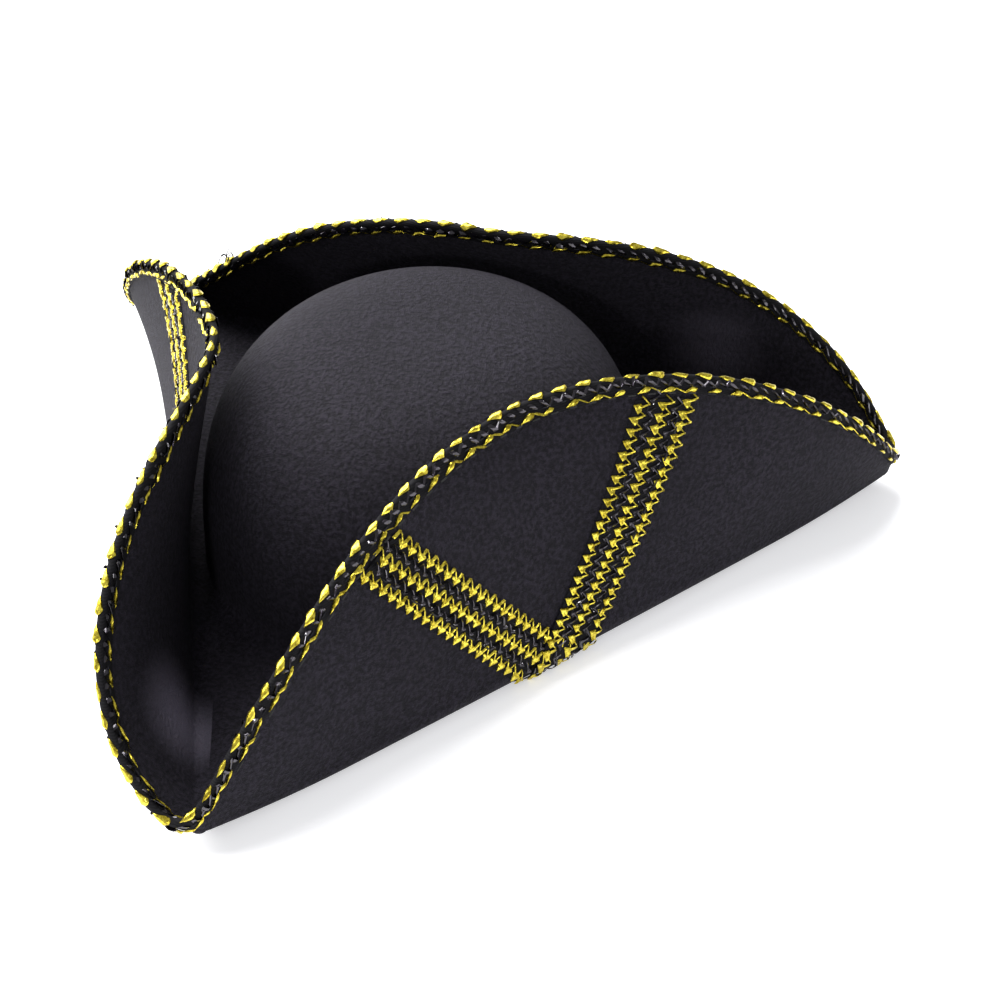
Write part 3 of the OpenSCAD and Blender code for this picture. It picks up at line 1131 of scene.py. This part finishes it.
class RowMaker:
    """Lays copies of a model in flat rows, with a Geometry Nodes tree."""

    NUMBERS = ("Length", "Breadth", "Start", "Lift", "Tilt", "Size spread",
               "Foot slope", "Foot cut", "Top slope", "Top cut")
    COUNTS = ("Count", "Rows", "Seed")
    CREASE = 32.0

    def __init__(self) -> None:
        """Build the tree once."""
        self.tree = bpy.data.node_groups.new("rows_of_copies", "GeometryNodeTree")
        face = self.tree.interface
        face.new_socket("Model", in_out="INPUT", socket_type="NodeSocketObject")
        face.new_socket("Material", in_out="INPUT", socket_type="NodeSocketMaterial")
        for name in self.NUMBERS:
            face.new_socket(name, in_out="INPUT", socket_type="NodeSocketFloat")
        for name in self.COUNTS:
            face.new_socket(name, in_out="INPUT", socket_type="NodeSocketInt")
        face.new_socket("Geometry", in_out="OUTPUT", socket_type="NodeSocketGeometry")
        self.keys = {item.name: item.identifier for item in face.items_tree
                     if item.in_out == "INPUT"}
        self._fill()

    def _fill(self) -> None:
        """Add the tree's nodes."""
        graph = Graph(self.tree)
        given = graph.node("NodeGroupInput")
        value = {name: Sock(graph, given.outputs[name]) for name in self.keys}
        grid = graph.get("GeometryNodeMeshGrid", 0, None, {
            "Size X": value["Length"], "Size Y": value["Breadth"],
            "Vertices X": value["Count"], "Vertices Y": value["Rows"]})
        shift = graph.get("ShaderNodeCombineXYZ", 0, None, {
            "X": value["Start"] + value["Length"] * 0.5, "Z": value["Lift"]})
        moved = graph.get("GeometryNodeTransform", 0, None,
                          {"Geometry": grid, "Translation": shift})
        where = graph.get("GeometryNodeInputPosition")
        split = graph.node("ShaderNodeSeparateXYZ", None, {"Vector": where})
        along, side = (Sock(graph, split.outputs[k]) for k in (0, 1))
        below = self._less(graph, along - side * value["Foot slope"], value["Foot cut"])
        above = self._less(graph, value["Top cut"], along - side * value["Top slope"])
        outside = graph.get("FunctionNodeBooleanMath", 0, {"operation": "OR"},
                            {0: below, 1: above})
        kept = graph.get("GeometryNodeDeleteGeometry", 0, {"domain": "POINT"},
                         {"Geometry": moved, "Selection": outside})
        model = graph.get("GeometryNodeObjectInfo", "Geometry", None,
                          {"Object": value["Model"]})
        turn = self._random(graph, value["Tilt"], value["Seed"], 0.0)
        scale = self._random(graph, value["Size spread"], value["Seed"] + 7, 1.0)
        copies = graph.get("GeometryNodeInstanceOnPoints", 0, None, {
            "Points": kept, "Instance": model, "Rotation": turn, "Scale": scale})
        real = graph.get("GeometryNodeRealizeInstances", 0, None, {"Geometry": copies})
        dressed = graph.get("GeometryNodeSetMaterial", 0, None,
                            {"Geometry": real, "Material": value["Material"]})
        graph.node("NodeGroupOutput", None, {"Geometry": dressed})

    @staticmethod
    def _less(graph: Graph, left: Sock, right: Sock) -> Sock:
        """Compare two numbers: true where left is less than right."""
        return graph.get("FunctionNodeCompare", 0,
                         {"data_type": "FLOAT", "operation": "LESS_THAN"},
                         {0: left, 1: right})

    @staticmethod
    def _random(graph: Graph, spread: Sock, seed: Sock, middle: float) -> Sock:
        """Three random numbers for each copy, within spread of middle."""
        low = graph.get("ShaderNodeCombineXYZ", 0, None, {
            "X": middle - spread, "Y": middle - spread, "Z": middle - spread * 0.5})
        high = graph.get("ShaderNodeCombineXYZ", 0, None, {
            "X": middle + spread, "Y": middle + spread, "Z": middle + spread * 0.5})
        return graph.get("FunctionNodeRandomValue", 0, {"data_type": "FLOAT_VECTOR"},
                         {0: low, 1: high, "Seed": seed})

    def lay(self, name: str, model: bpy.types.Object, rows: Rows,
            material: bpy.types.Material, place: Place) -> bpy.types.Object:
        """Lay the copies out flat, then bend them onto the hat.

        Args:
            name: the new piece's name.
            model: what to copy.
            rows: the flat layout.
            material: what the copies are made of.
            place: takes flat places along, across and up to points of the hat.

        Returns:
            The piece, as a plain mesh.
        """
        holder = add_object(name, bpy.data.meshes.new(name))
        modifier = holder.modifiers.new("rows", "NODES")
        modifier.node_group = self.tree
        given = {
            "Model": model, "Material": material,
            "Length": (rows.count - 1) * rows.pitch * MM,
            "Breadth": (rows.rows - 1) * rows.spacing * MM,
            "Start": rows.start * MM, "Lift": rows.lift * MM,
            "Tilt": math.radians(rows.tilt), "Size spread": rows.size,
            "Foot slope": rows.foot_slope, "Foot cut": rows.foot_cut * MM,
            "Top slope": rows.top_slope, "Top cut": rows.top_cut * MM,
            "Count": rows.count, "Rows": rows.rows, "Seed": rows.seed,
        }
        for key, value in given.items():
            modifier[self.keys[key]] = value
        depsgraph = bpy.context.evaluated_depsgraph_get()
        mesh = bpy.data.meshes.new_from_object(
            holder.evaluated_get(depsgraph), preserve_all_data_layers=False,
            depsgraph=depsgraph)
        holder.modifiers.remove(modifier)
        flat = np.zeros(len(mesh.vertices) * 3)
        mesh.vertices.foreach_get("co", flat)
        flat = flat.reshape(-1, 3) / MM
        bent = place(flat[:, 0], flat[:, 1], flat[:, 2]) * MM
        mesh.vertices.foreach_set("co", bent.ravel())
        mesh.name = name
        finish_mesh(mesh, self.CREASE)
        holder.data = mesh
        LOG.info("piece %s: %d faces", name, len(mesh.polygons))
        return holder


def discard(*models: bpy.types.Object) -> None:
    """Remove models that only served to be copied."""
    for model in models:
        mesh = model.data
        bpy.data.objects.remove(model)
        bpy.data.meshes.remove(mesh)


# ---------------------------------------------------------------- edge braid


@dataclass
class RimPath:
    """Takes flat lace round the rim: along it, across it, and up from the felt."""

    felt: FeltBody
    gap: float = 0.12
    rows: Array = field(init=False)
    outward: Array = field(init=False)
    upward: Array = field(init=False)
    stations: Array = field(init=False)

    def __post_init__(self) -> None:
        """Take the rim's rows from the felt, from the rim down."""
        count = self.felt.rim_steps + 1
        self.rows = self.felt.ring[:, ::-1][:, :count]
        self.outward = self.felt.normals[:, ::-1][:, :count]
        self.upward = unit(self.rows[:, 0] - self.rows[:, 1])
        steps = np.linalg.norm(np.roll(self.rows[:, 0], -1, axis=0) - self.rows[:, 0],
                               axis=1)
        self.stations = np.concatenate([[0], np.cumsum(steps)])

    @property
    def bend(self) -> float:
        """Radius of the lace's underside over the rim."""
        return self.felt.hat.felt_half + self.gap

    def span(self, index: int) -> tuple[float, float]:
        """Where one flap's lace starts and ends along the rim."""
        columns = self.felt.columns_of(index)
        start = self.stations[columns[0]]
        end = self.stations[columns[-1]]
        if end <= start:
            start -= self.stations[-1]
        return float(start), float(end)

    def place(self, along: Array, across: Array, up: Array) -> Array:
        """Points of the hat for flat places on the lace.

        Args:
            along: distance along the rim.
            across: distance from the rim, outside above 0 and inside below.
            up: height above the lace's underside.

        Returns:
            The points, in millimetres.
        """
        total = self.stations[-1]
        count = len(self.rows)
        column = np.interp(np.mod(along, total), self.stations, np.arange(count + 1))
        first = np.minimum(column.astype(int), count - 1)
        share = (column - first)[:, None]
        second = (first + 1) % count
        beyond = np.maximum(np.abs(across) - self.bend * math.pi / 2, 0)
        step = self.felt.rim_depth / self.felt.rim_steps
        row = np.clip(beyond / step, 0, self.felt.rim_steps - 1e-6)
        low = row.astype(int)
        part = (row - low)[:, None]

        def sample(grid: Array) -> Array:
            """Blend the four grid points round each place."""
            near = grid[first, low] * (1 - part) + grid[first, low + 1] * part
            far = grid[second, low] * (1 - part) + grid[second, low + 1] * part
            return near * (1 - share) + far * share

        normal = unit(sample(self.outward))
        over = unit(self.upward[first] * (1 - share) + self.upward[second] * share)
        angle = np.clip(across / self.bend, -math.pi / 2, math.pi / 2)[:, None]
        offset = np.cos(angle) * over + np.sin(angle) * normal
        return sample(self.rows) + offset * (self.bend + up)[:, None]


@dataclass
class EdgeBraid:
    """The lace folded over the rim: a black ground, gold plaits and black plaits."""

    path: RimPath
    rim: Plait = Plait(pitch=10.2, across=0.5, tape=1.0, turn=0.72, under=0.1, over=1.1,
                       tilt=0.3, back_tape=0.0, hand=-1.0, drop=2.7)
    rim_shift: float = 0.3
    gold: Plait = Plait(pitch=10.2, across=1.9, tape=1.0, turn=0.62, under=0.1, over=1.2,
                        tilt=0.2, back_tape=0.9, back_tilt=0.5, hand=-1.0, drop=2.5)
    black: Plait = Plait(pitch=5.1, across=2.8, tape=1.3, turn=0.5, under=0.05, over=0.6,
                         tilt=0.9, back_tilt=-0.9)
    row_spacing: float = 6.0
    stitch_pitch: float = 8.0
    stitch_spacing: float = 9.0
    ground: Ground = Ground(15.6, 0.55, 0.35)
    ground_step: float = 2.2
    ground_rows: int = 29

    def build(self, shop: Workshop) -> None:
        """Make each flap's stretch of the braid."""
        rim, gold = self.rim.model("rim_plait"), self.gold.model("gold_plait")
        black, stitch = self.black.model("black_plait"), Stitch().model("stitch")
        place, lift = self.path.place, self.ground.thick
        for i, flap in enumerate(self.path.felt.hat.flaps):
            start, end = self.path.span(i)
            name = f"edge_lace_{flap.name}"
            self._lay_ground(f"{name}_ground", start, end, shop, flap)
            count = int(round((end - start) / self.gold.pitch))
            pitch = (end - start) / count
            layout = Rows(count, 1, pitch, 0.0, start, lift, tilt=6.0, seed=11 + i)
            shop.lay(f"{name}_rim", rim, layout, Slot.GOLD, self._rim_place, flap,
                     f"edge_braid_{flap.name}")
            layout = Rows(count, 2, pitch, 2 * self.row_spacing, start + pitch * 0.3, lift,
                          tilt=7.0, size=0.1, seed=16 + i)
            shop.lay(f"{name}_gold", gold, layout, Slot.GOLD, place, flap)
            layout = Rows(2 * count, 2, pitch / 2, self.row_spacing, start + pitch * 0.4,
                          lift, tilt=16.0, seed=21 + i)
            shop.lay(f"{name}_black", black, layout, Slot.BLACK, place, flap)
            layout = Rows(int((end - start) / self.stitch_pitch), 2, self.stitch_pitch,
                          self.stitch_spacing, start + self.stitch_pitch / 2, lift + 0.1,
                          tilt=3.0, size=0.1, seed=31 + i)
            shop.lay(f"edge_stitches_{flap.name}", stitch, layout, Slot.THREAD, place, flap)
        discard(rim, gold, black, stitch)

    def _rim_place(self, along: Array, across: Array, up: Array) -> Array:
        """Points of the hat for the rim's own row, which lies a little outside."""
        return self.path.place(along, across + self.rim_shift, up)

    def _lay_ground(self, name: str, start: float, end: float, shop: Workshop,
                    flap: FlapShape) -> None:
        """Lay the black band that the plaits lie on.

        Args:
            name: the piece's name.
            start: where it starts along the rim.
            end: where it ends.
            shop: the workshop.
            flap: the flap that it lies on.
        """
        count = int((end - start) / self.ground_step)
        along = np.linspace(start, end, count + 1)[:, None]
        half = self.ground.width / 2
        across = np.linspace(-half, half, self.ground_rows)[None, :]
        shop.band(name, along, across, self.ground, self.path.place, flap)


@dataclass
class LooseThreads:
    """A small tuft of frayed threads that has worked out from under the braid.

    share is its place along the back flap's rim.
    """

    path: RimPath
    share: float = 0.835
    count: int = 7
    spacing: float = 0.9
    length: float = 7.0
    radius: float = 0.22
    rings: int = 9
    sides: int = 5
    seed: int = 5

    def build(self, shop: Workshop) -> None:
        """Make the tuft on the back flap."""
        random = np.random.default_rng(self.seed)
        start, end = self.path.span(1)
        middle = start + (end - start) * self.share
        u = np.linspace(0, 1, self.rings)
        threads = []
        for k in range(self.count):
            lean, curl, reach = random.uniform(-1, 1, 3)
            along = middle + k * self.spacing + u * u * lean * 4 + np.sin(u * 5) * curl
            across = 2.2 - u * 2 + np.sin(u * 4 + k) * 0.8
            up = 0.5 + u * self.length * (0.65 + 0.35 * reach)
            threads.append(self._tube(self.path.place(along, across, up)))
        piece = add_piece("loose_threads", *join(threads), shop.wardrobe.get(THREAD), 80.0)
        shop.attach.to_flap(piece, self.path.felt.hat.flaps[1], Slot.THREAD)

    def _tube(self, line: Array) -> tuple[Array, list]:
        """A thread along a line, closed at both ends."""
        ahead = unit(np.gradient(line, axis=0))
        side = unit(np.cross(ahead, np.array([0.3, 0.5, 0.8])))
        over = np.cross(ahead, side)
        turns = np.linspace(0, 2 * math.pi, self.sides, endpoint=False)
        ring = line[:, None] + self.radius * (
            np.cos(turns)[None, :, None] * side[:, None]
            + np.sin(turns)[None, :, None] * over[:, None])
        return ring.reshape(-1, 3), tube_faces(self.rings, self.sides)


# ------------------------------------------------------------------ V strips


class End(Enum):
    """Which tip of its flap a V strip leans towards."""

    START = -1
    END = 1


@dataclass
class StripPath:
    """Takes flat lace up a flap, from the V's foot: along it, across it and up."""

    hat: HatShape
    flap: FlapShape
    end: End
    angle: float = 40.0
    foot_d: float = 3.0
    lowest_d: float = 4.2
    below_rim: float = 7.6
    gap: float = 0.12
    pile: float = 0.0
    pile_reach: float = 26.0

    @property
    def slope(self) -> float:
        """Lengthwise shift of the foot's cut for each step across."""
        return self.end.value * math.tan(math.radians(self.angle))

    @property
    def foot_cut(self) -> float:
        """Where the middle of the strip comes out from under the fold."""
        return (self.lowest_d - self.foot_d) / math.cos(math.radians(self.angle))

    def cloth(self, along: Array, across: Array) -> tuple[Array, Array]:
        """Place on the flat felt.

        Args:
            along: distance along the strip.
            across: distance from its middle line, towards the flap's end.

        Returns:
            s along the flap, and distance from the fold.
        """
        turn = math.radians(self.angle)
        side = self.end.value
        x = self.flap.v_foot + side * along * math.sin(turn) + across * math.cos(turn)
        d = self.foot_d + along * math.cos(turn) - side * across * math.sin(turn)
        return x / self.hat.half_chord, d

    def top_of(self, across: float) -> float:
        """How far along the strip the edge braid starts, at one place across."""
        along = np.linspace(0, 200, 2001)
        s, d = self.cloth(along, np.full_like(along, across))
        s = np.clip(s, -1, 1)
        return float(along[np.argmax(d > self.hat.rim_d(self.flap, s) - self.below_rim)])

    def place(self, along: Array, across: Array, up: Array) -> Array:
        """Points of the hat for flat places on the strip, as in RimPath.place()."""
        s, d = self.cloth(along, across)
        lifted = up + self.pile * np.exp(-((along / self.pile_reach) ** 2))
        return self.hat.point(self.flap, s, d, self.hat.felt_half + self.gap + lifted)


@dataclass
class VStrips:
    """The two lace strips that make a V on each flap.

    end_low and end_high are where their cut ends start and stop, along the felt.
    """

    hat: HatShape
    gold: Plait = Plait(pitch=4.6, across=6.2, tape=1.0, turn=0.1, under=0.1, over=0.9,
                        tilt=0.3, back_tape=0.85, back_tilt=0.6, hand=-1.0, drop=4.3,
                        share=0.62, peak=0.8)
    black: Plait = Plait(pitch=4.6, across=4.0, tape=0.9, turn=0.1, under=0.0, over=0.6,
                         tilt=0.7, back_tape=0.9, back_tilt=-0.9, hand=-1.0, drop=2.9,
                         share=0.56, peak=0.78)
    row_spacing: float = 9.3
    ground: Ground = Ground(24.0, 0.5, 0.3)
    ground_columns: int = 61
    ground_rows: int = 15
    pile: float = 1.0
    end_low: float = 4.4
    end_high: float = 9.6
    end_spare: float = 0.8
    end_gap: float = 0.05
    end_thick: float = 0.45

    def build(self, shop: Workshop) -> None:
        """Make six strips, the cut ends under the folds, and their stitches."""
        names = {"left": ("front", "rear"), "back": ("left", "right"),
                 "right": ("rear", "front")}
        gold, black = self.gold.model("gold_plait"), self.black.model("black_plait")
        stitch = Stitch().model("stitch")
        for i, flap in enumerate(self.hat.flaps):
            for end, word in zip(End, names[flap.name]):
                pile = self.pile if end is End.END else 0.0
                path = StripPath(self.hat, flap, end, pile=pile)
                self._strip(f"strip_{flap.name}_{word}", path, (gold, black, stitch),
                            40 + 10 * i + end.value, shop)
            self._ends(flap, shop)
        discard(gold, black, stitch)

    def _strip(self, node: str, path: StripPath, models: tuple, seed: int,
               shop: Workshop) -> None:
        """Make one strip.

        Args:
            node: name of the CAD node that it stands for.
            path: where it lies.
            models: the gold plait, the black plait and the stitch.
            seed: its own random seed.
            shop: the workshop.
        """
        spacing, pitch, flap = self.row_spacing, self.gold.pitch, path.flap
        tops = [path.top_of(side) for side in (-spacing, 0.0, spacing)]
        slope = (tops[2] - tops[0]) / (2 * spacing)
        cuts = {"foot_slope": path.slope, "foot_cut": path.foot_cut,
                "top_slope": slope, "top_cut": tops[1] - 1.0, "lift": self.ground.thick}
        lowest = -spacing * abs(path.slope) - 6
        count = int((max(tops) - lowest) / pitch) + 2
        self._lay_ground(f"{node}_ground", path, slope, tops[1], shop)
        layout = Rows(count, 3, pitch, spacing, lowest, tilt=7.0, seed=seed, **cuts)
        shop.lay(f"{node}_gold", models[0], layout, Slot.GOLD, path.place, flap, node)
        layout = Rows(count, 2, pitch, spacing, lowest, tilt=14.0, seed=seed + 3, **cuts)
        shop.lay(f"{node}_black", models[1], layout, Slot.BLACK, path.place, flap)
        cuts["lift"] += 0.2
        layout = Rows(count // 2, 2, 2 * pitch, spacing * 1.42, lowest + 1.5, tilt=3.0,
                      seed=seed + 5, **cuts)
        shop.lay(f"{node}_stitches", models[2], layout, Slot.THREAD, path.place, flap)

    def _lay_ground(self, name: str, path: StripPath, top_slope: float, top: float,
                    shop: Workshop) -> None:
        """Lay the black band that a strip's plaits lie on.

        Args:
            name: the piece's name.
            path: where it lies.
            top_slope: lengthwise shift of its upper cut for each step across.
            top: length of its middle line.
            shop: the workshop.
        """
        half = self.ground.width / 2
        across = np.linspace(-half, half, self.ground_rows)[None, :]
        low = path.foot_cut + across * path.slope
        high = top + across * top_slope
        along = low + (high - low) * np.linspace(0, 1, self.ground_columns)[:, None]
        shop.band(name, along, across, self.ground, path.place, path.flap)

    def _ends(self, flap: FlapShape, shop: Workshop) -> None:
        """The strips' cut ends, glued down under one flap's fold."""
        half = self.ground.width / 2 / math.cos(math.radians(StripPath.angle))
        half += self.end_spare
        x = np.linspace(-half, half, 33)[:, None]
        d = np.linspace(self.end_low, self.end_high, 9)[None, :]
        ragged = 0.5 * np.sin(x * 1.9) + 0.35 * np.sin(x * 4.3 + 1.0)
        place = d + ragged * (self.end_high - d) / (self.end_high - self.end_low)
        s = (flap.v_foot + x + 0 * place) / self.hat.half_chord
        base = self.hat.felt_half + self.end_gap
        outer = self.hat.point(flap, s, place, base + self.end_thick)
        inner = self.hat.point(flap, s, place, base)
        points, faces = shell(outer, inner)
        piece = add_piece(f"cut_ends_{flap.name}", points, faces, shop.wardrobe.get(BLACK),
                          40.0)
        shop.attach.to_hat(piece, Slot.BLACK, f"strip_ends_{flap.name}")


# ----------------------------------------------------------------- sweatband


@dataclass
class Sweatband:
    """The ribbed tape sewn round the inside of the head opening.

    levels are the heights of its rows of points.
    """

    hat: HatShape
    levels: tuple[float, ...] = (0.5, 0.9, 2.0, 5.0, 9.0, 13.0, 17.0, 21.0, 25.0, 29.0,
                                 31.2, 32.0)
    thick: float = 1.0
    gap: float = 0.2
    hem: float = 1.2
    columns: int = 220
    stitch_pitch: float = 8.0
    seam_inset: float = 3.0

    def build(self, shop: Workshop) -> None:
        """Make the band and its stitches."""
        turn = np.linspace(0, 2 * math.pi, self.columns, endpoint=False)[:, None]
        z = np.array(self.levels)[None, :]
        low, high = self.levels[0], self.levels[-1]
        hem = np.clip(np.minimum(z - low, high - z) / self.hem, 0, 1)
        near = self.hat.felt_t + self.gap
        depth = self.thick * (0.35 + 0.65 * np.sqrt(hem))
        waver = 0.12 * np.sin(turn * 9) + 0.08 * np.sin(turn * 23 + 1)
        back = self.hat.wall_point(near + 0 * z, z, turn)
        front = self.hat.wall_point(near + depth + waver * hem, z, turn)
        points, faces = shell(back, front, ring=True)
        piece = add_piece("sweatband_tape", points, faces, shop.wardrobe.get(TAPE), 60.0)
        shop.attach.to_hat(piece, Slot.TAPE, "sweatband")
        stitch = Stitch().model("stitch")
        girth = math.pi * (self.hat.crown_w + self.hat.crown_l) / 2

        def place(along: Array, across: Array, up: Array) -> Array:
            """Points of the hat for flat places on the band."""
            return self.hat.wall_point(near + self.thick + 0.1 + up, high / 2 + across,
                                       2 * math.pi * along / girth)

        count = int(girth / self.stitch_pitch)
        layout = Rows(count, 2, girth / count, high - 2 * self.seam_inset, tilt=3.0, seed=91)
        piece = shop.rows.lay("sweatband_seams", stitch, layout, shop.wardrobe.get(THREAD),
                              place)
        shop.attach.to_hat(piece, Slot.THREAD, "sweatband_stitches")
        discard(stitch)


# -------------------------------------------------------------------- studio


def aim(thing: bpy.types.Object, place: Vector, way: Vector) -> None:
    """Put a light or a camera somewhere, and point it one way."""
    thing.location = place
    thing.rotation_mode = "QUATERNION"
    thing.rotation_quaternion = way.to_track_quat("-Z", "Y")


@dataclass(frozen=True)
class Lamp:
    """One soft light. A square one has a width, and the sun has a spread in degrees."""

    name: str
    kind: str
    place: tuple[float, float, float]
    size: float
    power: float

    def build(self) -> None:
        """Hang the light and point it at the hat."""
        data = bpy.data.lights.new(self.name, self.kind)
        if self.kind == "SUN":
            data.angle = math.radians(self.size)
        else:
            data.shape = "SQUARE"
            data.size = self.size
        data.energy = self.power
        aim(add_object(self.name, data), Vector(self.place), -Vector(self.place))


@dataclass
class Studio:
    """A pale floor, soft light and the camera."""

    azimuth: float = 21.53
    elevation: float = 37.4
    distance: float = 1.05095
    target: tuple[float, float, float] = (0.03764, -0.01095, 0.03174)
    lens: float = 94.76
    sky: float = 0.5
    floor_half: float = 4.0
    floor_z: float = -0.0003
    lamps: tuple[Lamp, ...] = (
        Lamp("main_light", "SUN", (-1.25, 0.55, 1.3), 65.0, 8.2),
        Lamp("right_box", "AREA", (1.5, -0.15, 0.45), 0.3, 1.5),
        Lamp("front_box", "AREA", (0.2, -1.5, 0.75), 0.12, 4.5),
    )

    def build_camera(self) -> None:
        """Place the camera."""
        turn, rise = math.radians(self.azimuth), math.radians(self.elevation)
        back = Vector((math.sin(turn) * math.cos(rise), -math.cos(turn) * math.cos(rise),
                       math.sin(rise)))
        data = bpy.data.cameras.new("camera")
        data.lens = self.lens
        data.sensor_width = 36.0
        data.clip_start = 0.01
        camera = add_object("camera", data)
        aim(camera, Vector(self.target) + back * self.distance, -back)
        bpy.context.scene.camera = camera

    def build(self, wardrobe: Wardrobe) -> None:
        """Lay the floor and hang the lights."""
        half, low = self.floor_half, self.floor_z
        mesh = bpy.data.meshes.new("floor")
        mesh.from_pydata([(-half, -half, low), (half, -half, low), (half, half, low),
                          (-half, half, low)], [], [(0, 1, 2, 3)])
        mesh.materials.append(wardrobe.get(PAPER))
        floor = add_object("floor", mesh)
        world = bpy.data.worlds.new("studio")
        world.use_nodes = True
        sky = world.node_tree.nodes["Background"]
        sky.inputs["Color"].default_value = (0.97, 0.98, 1.0, 1.0)
        sky.inputs["Strength"].default_value = self.sky
        bpy.context.scene.world = world
        bpy.context.scene.view_settings.view_transform = "Standard"
        for lamp in self.lamps:
            lamp.build()
        LOG.info("studio with %d lamps", len(self.lamps))


def main() -> None:
    """Dress the hat."""
    logging.basicConfig(level=logging.INFO, format="%(message)s")
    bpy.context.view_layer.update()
    studio = Studio()
    studio.build_camera()
    hat = HatShape()
    felt = FeltBody(hat)
    shop = Workshop(RowMaker())
    felt.build(shop)
    path = RimPath(felt)
    for maker in (EdgeBraid(path), LooseThreads(path), VStrips(hat), Sweatband(hat)):
        maker.build(shop)
    studio.build(shop.wardrobe)


if __name__ == "__main__":
    main()
